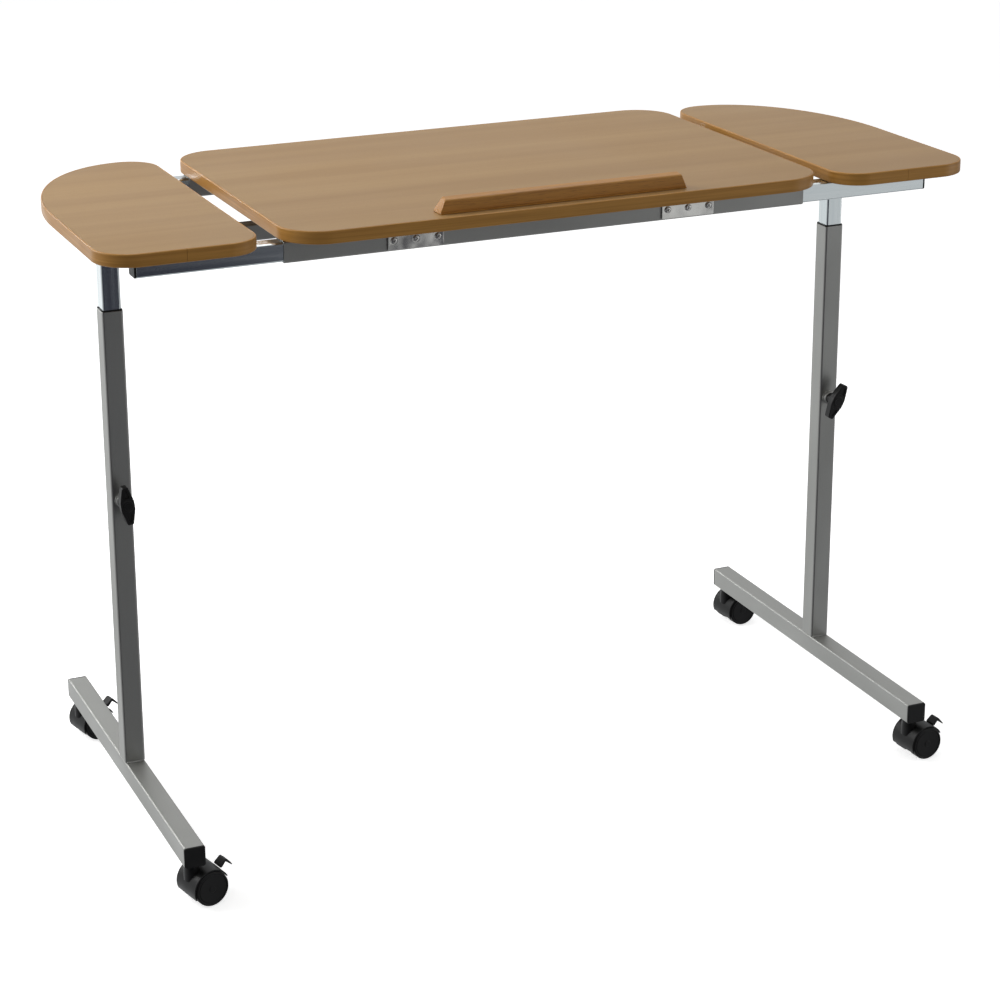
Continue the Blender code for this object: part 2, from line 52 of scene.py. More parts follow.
TUBE_CORNER = 0.0025
TRAY_CORNER = 0.050
FLAP_CORNERS = (0.038, 0.044, 0.040)  # inner front, outer front, inner back
EDGE_RADIUS = 0.0015  # rounding of the edging
EDGING = 0.0022  # width of the edging, seen from above
SEAM = 0.0003
FLAP_SEAM = 0.088  # butt joint of a flap's edging, from its inner edge
FLAP_WIDTH = 0.181
FLAP_DEPTH = 0.440
LEAF = 0.0018
BARREL = 0.0022
PIN = 0.00098
BOSS_LENGTH = 0.006
BAIL_RADIUS = 0.0025
CAP_SHANK = 0.008
CAP_FLANGE = 0.0025
CAP_RIM = 0.0011  # rounding round a cap's face
CAP_FLAT = 0.0018  # from a cap's edge to the flat middle of its face
MID_TUBE = (0.020, 0.015)  # section of the ties; the mid rail is as wide and as high as the first
MID_CORNER = 0.002
DECOR_STEP = 0.00012  # sharp edge broken off a board's core
FLAP_SWEEP = 0.215  # where a flap's outer edge starts to curve inwards
FLAP_SCREWS_X = (0.392, 0.446)
BAIL_LEG_X = 0.226
BAIL_BEND = 0.008
SADDLE_SHEET = 0.0015
SADDLE_HALF = 0.011
SADDLE_SCREW = 0.0078
SCREW_RADIUS = 0.0038
SCREW_HEIGHT = 0.0019
WELD_SINK = 0.0003
END_EASE = 0.12  # rounding of a bar's ends, in shares of its radius
END_SHRINK = 0.86
WHEEL_RADIUS = 0.021
CASTOR_WIDTH = 0.044
CASTOR_TRAIL = 0.0145
HOOD_INSIDE = 0.0217
HOOD_OUTSIDE = 0.0232
WEB_HALF = 0.0085  # half thickness of the hood's middle wall
PEDAL_HALF = 0.0065
HEADINGS = {"left": math.radians(13.0), "right": math.radians(5.0)}
KNOB_LEANS = {"left": math.radians(97), "right": math.radians(63)}
SIDES = {"left": -1, "right": 1}
ALONG_X = Euler((0, math.pi / 2, 0))
ALONG_Y = Euler((-math.pi / 2, 0, 0))
UPRIGHT = Euler((0, 0, 0))
TO_USER = Euler((math.pi / 2, 0, 0))  # local +Z points at the user
DOWNWARD = Euler((math.pi, 0, 0))
SIDEWAYS = Euler((math.pi / 2, 0, math.pi / 2))  # drawn from the side, its thickness along X


def middle(node):
    low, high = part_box(node)
    return (low + high) / 2


MAST_Y = middle("left_inner_mast").y
RAIL_Z = middle("front_rail").z


# ---- material nodes
class Look:
    """Node material being built; every helper returns an output socket."""

    def __init__(self, name, roughness, metallic=0.0, specular=0.5):
        self.mat = bpy.data.materials.new(name)
        self.mat.use_nodes = True
        self.tree = self.mat.node_tree
        self.shader = self.tree.nodes["Principled BSDF"]
        self.shader.inputs["Roughness"].default_value = roughness
        self.shader.inputs["Metallic"].default_value = metallic
        self.shader.inputs["Specular IOR Level"].default_value = specular
        self.position = self.tree.nodes.new("ShaderNodeTexCoord").outputs["Object"]

    def feed(self, socket, value):
        if isinstance(value, bpy.types.NodeSocket):
            self.tree.links.new(value, socket)
        else:
            socket.default_value = value

    def scaled(self, x, y, z):
        node = self.tree.nodes.new("ShaderNodeMapping")
        node.inputs["Scale"].default_value = (x, y, z)
        self.feed(node.inputs["Vector"], self.position)
        return node.outputs["Vector"]

    def noise(self, vector, detail, roughness=0.55, distortion=0.0):
        node = self.tree.nodes.new("ShaderNodeTexNoise")
        self.feed(node.inputs["Vector"], vector)
        node.inputs["Scale"].default_value = 1.0
        node.inputs["Detail"].default_value = detail
        node.inputs["Roughness"].default_value = roughness
        node.inputs["Distortion"].default_value = distortion
        return node.outputs["Fac"]

    def cells(self, vector):
        node = self.tree.nodes.new("ShaderNodeTexVoronoi")
        self.feed(node.inputs["Vector"], vector)
        node.inputs["Scale"].default_value = 1.0
        return node.outputs["Distance"]

    def ramp(self, value, stops):
        node = self.tree.nodes.new("ShaderNodeValToRGB")
        self.feed(node.inputs["Fac"], value)
        elements = node.color_ramp.elements
        while len(elements) < len(stops):
            elements.new(0.5)
        for element, (place, colour) in zip(elements, stops):
            element.position = place
            element.color = (*colour, 1.0) if isinstance(colour, tuple) else (colour, colour, colour, 1.0)
        return node.outputs["Color"]

    def mix(self, factor, first, second):
        node = self.tree.nodes.new("ShaderNodeMix")
        node.data_type = "RGBA"
        self.feed(node.inputs["Factor"], factor)
        for socket, value in ((node.inputs["A"], first), (node.inputs["B"], second)):
            self.feed(socket, (*value, 1.0) if isinstance(value, tuple) else value)
        return node.outputs["Result"]

    def spread(self, value, low, high):
        node = self.tree.nodes.new("ShaderNodeMapRange")
        self.feed(node.inputs["Value"], value)
        node.inputs["From Min"].default_value = 0.3
        node.inputs["From Max"].default_value = 0.7
        node.inputs["To Min"].default_value = low
        node.inputs["To Max"].default_value = high
        return node.outputs["Result"]

    def bump(self, height, strength, distance, below=None):
        node = self.tree.nodes.new("ShaderNodeBump")
        node.inputs["Strength"].default_value = strength
        node.inputs["Distance"].default_value = distance
        self.feed(node.inputs["Height"], height)
        if below is not None:
            self.feed(node.inputs["Normal"], below)
        return node.outputs["Normal"]

    def done(self, colour, roughness=None, normal=None):
        self.feed(self.shader.inputs["Base Color"], colour)
        if roughness is not None:
            self.feed(self.shader.inputs["Roughness"], roughness)
        if normal is not None:
            self.feed(self.shader.inputs["Normal"], normal)
        return self.mat


def laminate_look(name, light, dark, fleck, roughness):
    """Beech decor paper under a satin film: straight grain along X, with the short flecks of beech."""
    look = Look(name, roughness, specular=0.25)
    bands = look.noise(look.scaled(0.9, 24, 24), 3.0, 0.5, 0.35)
    fibres = look.noise(look.scaled(9, 420, 420), 3.0, 0.6)
    flecks = look.noise(look.scaled(230, 1500, 1500), 1.0, 0.4)
    colour = look.ramp(bands, [(0.30, dark), (0.68, light)])
    colour = look.mix(look.ramp(fibres, [(0.35, 0.0), (0.75, 0.42)]), colour, dark)
    colour = look.mix(look.ramp(flecks, [(0.62, 0.0), (0.72, 0.30)]), colour, fleck)
    rough = look.spread(look.noise(look.scaled(3, 3, 3), 3.0), roughness - 0.03, roughness + 0.05)
    normal = look.bump(fibres, 0.10, 0.0002)
    normal = look.bump(look.noise(look.scaled(2600, 2600, 2600), 1.0), 0.06, 0.00015, normal)
    return look.done(colour, rough, normal)


def edging_look(name, light, dark, roughness):
    """Wood-print edging: fine streaks that run along the strip on every side of the board."""
    look = Look(name, roughness, specular=0.30)
    streaks = look.noise(look.scaled(7, 7, 520), 3.0, 0.6, 0.2)
    clouds = look.noise(look.scaled(16, 16, 60), 2.0, 0.5)
    colour = look.ramp(streaks, [(0.28, dark), (0.72, light)])
    colour = look.mix(look.ramp(clouds, [(0.4, 0.0), (0.8, 0.35)]), colour, dark)
    normal = look.bump(streaks, 0.08, 0.0002)
    return look.done(colour, look.spread(clouds, roughness - 0.05, roughness + 0.06), normal)


def lacquered_wood_look(name, light, dark, pore):
    """Stained solid wood with its grain along X, under clear lacquer."""
    look = Look(name, 0.32, specular=0.30)
    figure = look.noise(look.scaled(3.2, 160, 110), 4.0, 0.55, 0.6)
    pores = look.noise(look.scaled(60, 1900, 1900), 2.0, 0.5)
    colour = look.ramp(figure, [(0.26, dark), (0.52, light), (0.78, dark)])
    colour = look.mix(look.ramp(pores, [(0.56, 0.0), (0.70, 0.55)]), colour, pore)
    normal = look.bump(pores, 0.15, 0.0002)
    look.shader.inputs["Coat Weight"].default_value = 0.12
    look.shader.inputs["Coat Roughness"].default_value = 0.18
    return look.done(colour, look.spread(figure, 0.30, 0.42), normal)


def paint_look(name, colour, shade, flake):
    """Silver-grey stoved paint: fine metal flake and a little orange peel, duller where hands rub it."""
    look = Look(name, 0.42, metallic=0.88, specular=0.5)
    clouds = look.noise(look.scaled(14, 14, 5), 3.0, 0.55)
    flakes = look.cells(look.scaled(2400, 2400, 2400))
    peel = look.noise(look.scaled(520, 520, 520), 2.0, 0.5)
    base = look.mix(look.ramp(clouds, [(0.35, 0.0), (0.68, 1.0)]), colour, shade)
    base = look.mix(look.ramp(flakes, [(0.10, 0.38), (0.30, 0.0)]), base, flake)
    normal = look.bump(peel, 0.12, 0.0003)
    return look.done(base, look.spread(clouds, 0.38, 0.50), normal)


def plated_look(name, light, dark, roughness, streaks=(70, 70, 2.5), waves=0.0):
    """Bright plated steel: drawn lines along the part and a cloudy, slightly blue and yellow film."""
    look = Look(name, roughness, metallic=1.0)
    drawn = look.noise(look.scaled(*(12 * s for s in streaks)), 3.0, 0.6)
    film = look.noise(look.scaled(*streaks), 3.0, 0.55, 0.3)
    colour = look.ramp(film, [(0.30, dark), (0.70, light)])
    colour = look.mix(look.ramp(drawn, [(0.40, 0.0), (0.80, 0.40)]), colour, dark)
    normal = look.bump(drawn, 0.05, 0.0002)
    if waves:
        normal = look.bump(look.noise(look.scaled(45, 45, 45), 1.0, 0.4), waves, 0.006, normal)
    return look.done(colour, look.spread(film, roughness - 0.03, roughness + 0.06), normal)


def plastic_look(name, colour, shade, roughness, grain=1500.0, depth=0.10):
    """Moulded plastic with a fine spark-eroded grain and faint flow marks."""
    look = Look(name, roughness, specular=0.25)
    flow = look.noise(look.scaled(60, 60, 60), 3.0, 0.5, 0.4)
    texture = look.noise(look.scaled(grain, grain, grain), 2.0, 0.6)
    base = look.mix(look.ramp(flow, [(0.35, 0.0), (0.70, 1.0)]), colour, shade)
    normal = look.bump(texture, depth, 0.0002)
    return look.done(base, look.spread(flow, roughness - 0.05, roughness + 0.08), normal)


LAMINATE = laminate_look("laminate_beech", (0.410, 0.250, 0.100), (0.345, 0.200, 0.074),
                         (0.25, 0.132, 0.042), 0.40)
BACKING = laminate_look("laminate_back", (0.40, 0.25, 0.135), (0.33, 0.195, 0.10), (0.25, 0.14, 0.065), 0.50)
EDGE = edging_look("edging_beech", (0.54, 0.270, 0.060), (0.38, 0.178, 0.034), 0.36)
LEDGE_WOOD = lacquered_wood_look("ledge_wood", (0.52, 0.245, 0.050), (0.38, 0.165, 0.030),
                                 (0.17, 0.070, 0.018))
PAINT = paint_look("paint_silver", (0.360, 0.362, 0.345), (0.330, 0.332, 0.316), (0.52, 0.52, 0.50))
ZINC = plated_look("zinc_bright", (0.74, 0.785, 0.785), (0.62, 0.67, 0.68), 0.16)
STEEL = plated_look("steel_bright", (0.80, 0.79, 0.75), (0.62, 0.61, 0.57), 0.18, (60, 60, 60), 0.16)
SCREW_STEEL = plated_look("screw_steel", (0.72, 0.71, 0.68), (0.50, 0.49, 0.47), 0.26, (90, 90, 90))
BLACK = plastic_look("plastic_black", (0.008, 0.008, 0.008), (0.012, 0.012, 0.012), 0.44)
NYLON = plastic_look("nylon_black", (0.007, 0.007, 0.007), (0.011, 0.011, 0.011), 0.40, 1100.0, 0.14)
TREAD = plastic_look("tread_black", (0.006, 0.006, 0.006), (0.010, 0.010, 0.010), 0.52, 700.0, 0.20)


# ---- outlines
def arc(centre, radius, start, end, steps):
    rx, ry = radius if isinstance(radius, tuple) else (radius, radius)
    points = []
    for i in range(steps + 1):
        angle = math.radians(start + (end - start) * i / steps)
        points.append((centre[0] + rx * math.cos(angle), centre[1] + ry * math.sin(angle)))
    return points


def quarter_turn(steps, first=0):
    """Angles of a quarter turn in equal steps."""
    return [math.pi / 2 * k / steps for k in range(first, steps + 1)]


def rounded_rectangle(width, depth, radius, steps=6):
    x = width / 2 - radius
    y = depth / 2 - radius
    outline = []
    for cx, cy, start in ((x, y, 0), (-x, y, 90), (-x, -y, 180), (x, -y, 270)):
        outline += arc((cx, cy), radius, start, start + 90, steps)
    return outline


def normals(outline, closed=True):
    """Inward normals of an anticlockwise outline, lengthened at corners to keep an inset parallel."""
    found = []
    last = len(outline) - 1
    for i, point in enumerate(outline):
        here = Vector(point)
        before = Vector(outline[i - 1]) if closed or i else None
        after = Vector(outline[(i + 1) % (last + 1)]) if closed or i < last else None
        sides = []
        for start, end in ((before, here), (here, after)):
            if start is not None and end is not None and (end - start).length > 1e-9:
                sides.append(Vector((start.y - end.y, end.x - start.x)).normalized())
        total = sum(sides, Vector((0, 0))).normalized()
        found.append(total / max(total.dot(sides[0]), 0.5))
    return found


def inset(outline, distance):
    return [tuple(Vector(p) + n * distance) for p, n in zip(outline, normals(outline))]


def rounded_path(points, radius, steps=6):
    """Closed outline with its corners rounded by radius, or less where a side is short."""
    out = []
    count = len(points)
    for i in range(count):
        before, here, after = Vector(points[i - 1]), Vector(points[i]), Vector(points[(i + 1) % count])
        reach = min(radius, (before - here).length * 0.45, (after - here).length * 0.45)
        start = here + (before - here).normalized() * reach
        end = here + (after - here).normalized() * reach
        for k in range(steps + 1):
            t = k / steps
            out.append(tuple(start * (1 - t) ** 2 + here * 2 * t * (1 - t) + end * t**2))
    return out


# ---- solids
def loft(bm, rings, around=True, back_to_start=False, caps=True):
    """Skin through rings of 3-D points; around closes each ring, back_to_start joins last to first."""
    made = [[bm.verts.new(p) for p in ring] for ring in rings]
    pairs = list(zip(made, made[1:])) + ([(made[-1], made[0])] if back_to_start else [])
    count = len(made[0])
    for lower, upper in pairs:
        for i in range(count if around else count - 1):
            j = (i + 1) % count
            bm.faces.new((lower[i], lower[j], upper[j], upper[i]))
    if caps and not back_to_start:
        bm.faces.new(made[0][::-1])
        bm.faces.new(made[-1])
    return made


def flat_rings(layers):
    return [[(x, y, z) for x, y in outline] for outline, z in layers]


def tube(width, height, z0, z1, corner=TUBE_CORNER):
    """Square tube along Z with rounded corners and lightly deburred ends."""
    burr = 0.0003
    bm = bmesh.new()
    layers = []
    for depth, z in ((burr, z0), (0, z0 + burr), (0, z1 - burr), (burr, z1),
                     (WALL - burr, z1), (WALL, z1 - burr), (WALL, z0 + burr), (WALL - burr, z0)):
        layers.append((rounded_rectangle(width - 2 * depth, height - 2 * depth, corner - depth), z))
    loft(bm, flat_rings(layers), back_to_start=True)
    return bm


def slab(outline, z0, z1, radius, steps=4):
    """Plate with both rims rounded."""
    layers = []
    for turn in quarter_turn(steps):
        layers.append((inset(outline, radius * (1 - math.sin(turn))), z0 + radius * (1 - math.cos(turn))))
    for turn in reversed(quarter_turn(steps)):
        layers.append((inset(outline, radius * (1 - math.sin(turn))), z1 - radius * (1 - math.cos(turn))))
    bm = bmesh.new()
    loft(bm, flat_rings(layers))
    return bm


def lathe(profile, segments=48):
    """Turned solid round Z; profile is (radius, z) from one end to the other, off the axis."""
    bm = bmesh.new()
    loft(bm, flat_rings([(arc((0, 0), radius, 0, 360, segments)[:-1], z) for radius, z in profile]))
    return bm


def rod(path, radius, segments=16):
    """Round bar along 3-D points, its end rims eased."""
    bm = bmesh.new()
    rings = []
    points = [Vector(p) for p in path]
    side = None
    for i, point in enumerate(points):
        along = (points[min(i + 1, len(points) - 1)] - points[max(i - 1, 0)]).normalized()
        if side is None:
            side = along.orthogonal().normalized()
        side = (side - along * side.dot(along)).normalized()
        up = along.cross(side)
        reach = radius(i) if callable(radius) else radius
        rings.append([point + (side * math.cos(a) + up * math.sin(a)) * reach
                      for a in (2 * math.pi * k / segments for k in range(segments))])
    first, last = rings[0], rings[-1]
    ease = END_EASE * (points[1] - points[0]).normalized() * (first[0] - points[0]).length
    rings.insert(0, [points[0] + (p - points[0]) * END_SHRINK - ease for p in first])
    ease = END_EASE * (points[-1] - points[-2]).normalized() * (last[0] - points[-1]).length
    rings.append([points[-1] + (p - points[-1]) * END_SHRINK + ease for p in last])
    loft(bm, rings)
    return bm


def joined(*parts):
    """One bmesh holding several separate closed shells."""
    whole = bmesh.new()
    for bm in parts:
        mesh = bpy.data.meshes.new("part")
        bm.to_mesh(mesh)
        bm.free()
        whole.from_mesh(mesh)
        bpy.data.meshes.remove(mesh)
    return whole


def moved(bm, place=(0, 0, 0), turn=UPRIGHT):
    bm.transform(Matrix.Translation(place) @ turn.to_matrix().to_4x4())
    return bm


def boolean(bm, tools, operation):
    """bm after an exact boolean with each tool in turn; the tools are used up."""
    def scratch(source):
        bmesh.ops.recalc_face_normals(source, faces=source.faces)
        mesh = bpy.data.meshes.new("scratch")
        source.to_mesh(mesh)
        source.free()
        obj = bpy.data.objects.new("scratch", mesh)
        bpy.context.scene.collection.objects.link(obj)
        return obj

    target = scratch(bm)
    cutters = [scratch(tool) for tool in tools]
    for cutter in cutters:
        modifier = target.modifiers.new("cut", "BOOLEAN")
        modifier.operation = operation
        modifier.solver = "EXACT"
        modifier.object = cutter
    bpy.context.view_layer.update()
    result = bmesh.new()
    result.from_object(target, bpy.context.evaluated_depsgraph_get())
    for obj in [target, *cutters]:
        mesh = obj.data
        bpy.data.objects.remove(obj)
        bpy.data.meshes.remove(mesh)
    return result


def piece(name, bm, mat, body, place=(0, 0, 0), turn=UPRIGHT, replaces=(), sharp=34):
    """Makes the finished object from bm, standing at place, and hangs it on a body."""
    bmesh.ops.recalc_face_normals(bm, faces=bm.faces)
    mesh = bpy.data.meshes.new(name)
    bm.to_mesh(mesh)
    bm.free()
    for one in mat if isinstance(mat, list) else [mat]:
        mesh.materials.append(one)
    mesh.shade_smooth()
    mesh.set_sharp_from_angle(angle=math.radians(sharp))
    obj = bpy.data.objects.new(name, mesh)
    flat_faces = obj.modifiers.new("flat_faces", "WEIGHTED_NORMAL")
    flat_faces.keep_sharp = True
    bpy.context.scene.collection.objects.link(obj)
    obj.matrix_world = Matrix.Translation(place) @ turn.to_matrix().to_4x4()
    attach(obj, body)
    if replaces:
        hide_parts(*([replaces] if isinstance(replaces, str) else replaces))
    return obj


# ---- fastenings
def screw_head():
    """Pan head with a cross recess. It stands on z = 0 and points up."""
    radius, height = SCREW_RADIUS, SCREW_HEIGHT
    profile = [(radius * 0.55, -0.0004), (radius * 0.96, -0.0004), (radius, 0.0)]
    for turn in quarter_turn(6):
        profile.append((radius * (0.62 + 0.38 * math.cos(turn)), height * (0.30 + 0.70 * math.sin(turn))))
    profile += [(radius * 0.3, height * 1.02), (radius * 0.05, height * 1.03)]
    arm, half = radius * 0.60, radius * 0.15
    cuts = []
    for turn in (0, math.pi / 2):
        outline = [(-arm, -half), (arm, -half), (arm, half), (-arm, half)]
        low = [(x * 0.45, y * 0.8) for x, y in outline]
        cut = bmesh.new()
        loft(cut, flat_rings([(low, height * 0.25), (outline, height * 1.2)]))
        cuts.append(moved(cut, turn=Euler((0, 0, turn + 0.4))))
    return boolean(lathe(profile, 32), cuts, "DIFFERENCE")


SCREW_MESH = bpy.data.meshes.new("screw_master")
screw = screw_head()
screw.to_mesh(SCREW_MESH)
screw.free()


def screws(name, places, turn, body, scale=1.0):
    """Row of screws that belong together."""
    parts = []
    for index, place in enumerate(places):
        bm = bmesh.new()
        bm.from_mesh(SCREW_MESH)
        bm.transform(Matrix.Diagonal((scale, scale, scale, 1.0)))
        moved(bm, turn=Euler((0, 0, 0.9 * index)))
        parts.append(moved(bm, place, turn))
    piece(name, joined(*parts), SCREW_STEEL, body)


def weld_bead(path, size=0.0013):
    """Rippled bead along a polyline."""
    points = []
    for start, end in zip(path, path[1:]):
        a, b = Vector(start), Vector(end)
        count = max(int((b - a).length / 0.0004), 2)
        points += [a.lerp(b, k / count) for k in range(count)]
    points.append(Vector(path[-1]))
    last = len(points) - 1

    def ripple(i):
        return size * (1 + 0.16 * math.sin(i * 1.7)) * min(1, 0.55 + 0.15 * min(i, last - i))

    return rod(points, ripple, 8)


# ---- boards
def banded_board(name, outline, node, body, seam=0.5):
    """Board as it is made: core with laminate on both faces, and edging round it with one butt joint.

    The joint lies on the straight run from the outline's last point to its first.
    """
    low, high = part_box(node)
    z0, z1 = low.z, high.z
    inner = inset(outline, EDGING)
    bm = bmesh.new()
    layers = [(inset(inner, DECOR_STEP), z0), (inner, z0 + DECOR_STEP), (inner, z1 - DECOR_STEP),
              (inset(inner, DECOR_STEP), z1)]
    loft(bm, flat_rings(layers))
    bm.normal_update()
    for face in bm.faces:
        face.material_index = 0 if face.normal.z > 0.5 else 1
    piece(name + "_panel", bm, [LAMINATE, BACKING], body, replaces=node)

    start, end = Vector(outline[-1]), Vector(outline[0])
    along = (end - start).normalized()
    joint = start.lerp(end, seam)
    run = [tuple(joint + along * SEAM / 2), *outline, tuple(joint - along * SEAM / 2)]
    section = [(EDGING - 0.00012, z1 - 0.0003), (EDGING - 0.0003, z1 - 0.00003)]
    section += [(EDGE_RADIUS * (1 - math.sin(t)), z1 - EDGE_RADIUS * (1 - math.cos(t)))
                for t in quarter_turn(6)]
    section += [(EDGE_RADIUS * (1 - math.sin(t)), z0 + EDGE_RADIUS * (1 - math.cos(t)))
                for t in reversed(quarter_turn(6))]
    section += [(EDGING - 0.0003, z0 + 0.00003), (EDGING - 0.00012, z0 + 0.0003)]
    rings = []
    for point, normal in zip(run, normals(run, closed=False)):
        rings.append([(point[0] + normal.x * depth, point[1] + normal.y * depth, z) for depth, z in section])
    bm = bmesh.new()
    loft(bm, rings)
    piece(name + "_edging", bm, EDGE, body, sharp=28)


def tray_outline():
    low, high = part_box("tray_board")
    steps = 20
    flat = rounded_rectangle(high.x - low.x, high.y - low.y, TRAY_CORNER, steps)
    flat = flat[steps + 1:] + flat[:steps + 1]
    y = (low.y + high.y) / 2
    return [(px, py + y) for px, py in flat]


def flap_outline(side):
    """Flap from above; the run from the last point to the first is its front edge."""
    low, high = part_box(side + "_flap_board")
    inner, outer, back = FLAP_CORNERS
    outline = arc((FLAP_WIDTH - outer, outer), outer, 270, 360, 16)
    outline += arc((back, FLAP_SWEEP), (FLAP_WIDTH - back, FLAP_DEPTH - FLAP_SWEEP), 0, 90, 48)
    outline += arc((back, FLAP_DEPTH - back), back, 90, 180, 14)[1:]
    outline += arc((inner, inner), inner, 180, 270, 18)
    if side == "right":
        return [(low.x + u, low.y + v) for u, v in outline]
    return [(high.x - u, low.y + v) for u, v in outline][::-1]


def build_boards():
    banded_board("tray", tray_outline(), "tray_board", "tray", 0.42)
    inner, outer = FLAP_CORNERS[:2]
    share = (FLAP_SEAM - inner) / (FLAP_WIDTH - outer - inner)
    banded_board("right_flap", flap_outline("right"), "right_flap_board", "right_frame", share)
    banded_board("left_flap", flap_outline("left"), "left_flap_board", "left_frame", 1 - share)


def build_ledge():
    """Moulded ledge: grooved foot, plain front, eased arris, sloping back, and ends cut on the slant."""
    low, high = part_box("book_ledge")
    depth, height = high.y - low.y, high.z - low.z
    half = (high.x - low.x) / 2
    slant, ease = 0.42, 0.0011
    section = [(0, 0), (0, 0.0011), (0.0007, 0.0015), (0.0007, 0.0021), (0.0002, 0.0025)]
    section += [(0.0003, height - 0.0046)]
    section += arc((0.0033, height - 0.0044), 0.0030, 180, 96, 6)
    section += arc((0.0100, height - 0.0040), (0.0040, 0.0040), 88, 52, 4)
    section += [(depth - 0.0016, 0.0062), (depth - 0.0002, 0.0046), (depth, 0.0040), (depth, 0)]
    section = section[::-1]
    rings = []
    for sign in (-1, 1):
        end = []
        for turn in quarter_turn(4):
            shrunk = inset(section, ease * (1 - math.sin(turn)))
            back = ease * (1 - math.cos(turn))
            end.append([(sign * (half - slant * z - back), y, z) for y, z in shrunk])
        rings += end if sign < 0 else end[::-1]
    bm = bmesh.new()
    loft(bm, rings)
    piece("ledge", bm, LEDGE_WOOD, "tray", (0, low.y, low.z), replaces="book_ledge",
          sharp=40)


# ---- tubes
def build_tube(node, body, mat, slot, axis, width, height=None, corner=TUBE_CORNER):
    """Fine square tube in a node's place. A clamp boss only adds to the box's low side across the tube."""
    low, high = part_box(node)
    height = height or width
    half = (high[axis] - low[axis]) / 2
    if axis == 0:
        place = ((low.x + high.x) / 2, high.y - width / 2, high.z - height / 2)
        turn = ALONG_X
        width, height = height, width
    elif axis == 1:
        place = (high.x - width / 2, (low.y + high.y) / 2, high.z - height / 2)
        turn = ALONG_Y
    else:
        place = (high.x - width / 2, high.y - height / 2, (low.z + high.z) / 2)
        turn = UPRIGHT
    bm = tube(width, height, -half, half, corner)
    piece(node + "_fine", bm, mat, body, place, turn, node)


def boss(name, body, place, turn):
    """Round weld nut with a chamfered face and its bead of weld, painted with the tube."""
    profile = [(0.0040, -0.0004), (0.0078, -0.0004), (0.0080, 0.0), (0.0080, BOSS_LENGTH - 0.0006),
               (0.0074, BOSS_LENGTH), (0.0036, BOSS_LENGTH), (0.0033, BOSS_LENGTH - 0.0003)]
    turns = [math.tau * k / 40 for k in range(41)]
    bead = weld_bead([(0.0081 * math.cos(a), 0.0081 * math.sin(a), 0.0005) for a in turns], 0.0009)
    piece(name, joined(lathe(profile, 40), bead), PAINT, body, place, turn)


def build_centre_frame():
    for node in ("front_rail", "rear_rail"):
        build_tube(node, "centre_frame", PAINT, "silver_paint", 0, TUBE)
    build_tube("mid_rail", "centre_frame", PAINT, "silver_paint", 0, MID_TUBE[0], corner=MID_CORNER)
    for side in SIDES:
        build_tube(side + "_tie", "centre_frame", PAINT, "silver_paint", 1, *MID_TUBE, MID_CORNER)
        low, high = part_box(side + "_tie")
        beads = []
        for y, way in ((low.y, 1), (high.y, -1)):
            for x in (low.x, high.x):
                out = 0.0004 if x == high.x else -0.0004
                ends = (low.z + 0.002, high.z - 0.002)
                beads.append(weld_bead([(x + out, y + way * 0.0004, z) for z in ends]))
            ends = (low.x + 0.002, high.x - 0.002)
            beads.append(weld_bead([(x, y + way * 0.0004, low.z - 0.0004) for x in ends]))
        rail_low, rail_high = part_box("mid_rail")
        for y in (rail_low.y, rail_high.y):
            ends = (low.x + 0.001, high.x - 0.001)
            beads.append(weld_bead([(x, y, rail_high.z) for x in ends], 0.0011))
        piece(side + "_tie_welds", joined(*beads), PAINT, "centre_frame")
        knob = middle(side + "_width_knob")
        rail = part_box("front_rail")[0].z
        boss(side + "_rail_boss", "centre_frame", (knob.x, 2 * MAST_Y - middle("front_rail").y, rail),
             DOWNWARD)
        build_rack(side)
        build_hinge(side)


def build_rack(side):
    """Toothed strip, its teeth facing up."""
    low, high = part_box(side + "_rack")
    pitch, count = 0.010, 8
    root, crest = 0.0018, high.z - low.z
    outline = [(0, 0), (count * pitch, 0)]
    for i in reversed(range(count)):
        outline += [((i + 1) * pitch, crest), (i * pitch + 0.003, root)]
    outline.append((0, crest))
    bm = slab(rounded_path(outline, 0.0004, 3), -(high.x - low.x) / 2, (high.x - low.x) / 2, 0.0003, 3)
    turn = SIDEWAYS
    piece(side + "_rack_fine", bm, STEEL, "centre_frame", (middle(side + "_rack").x, low.y, low.z), turn,
          side + "_rack")


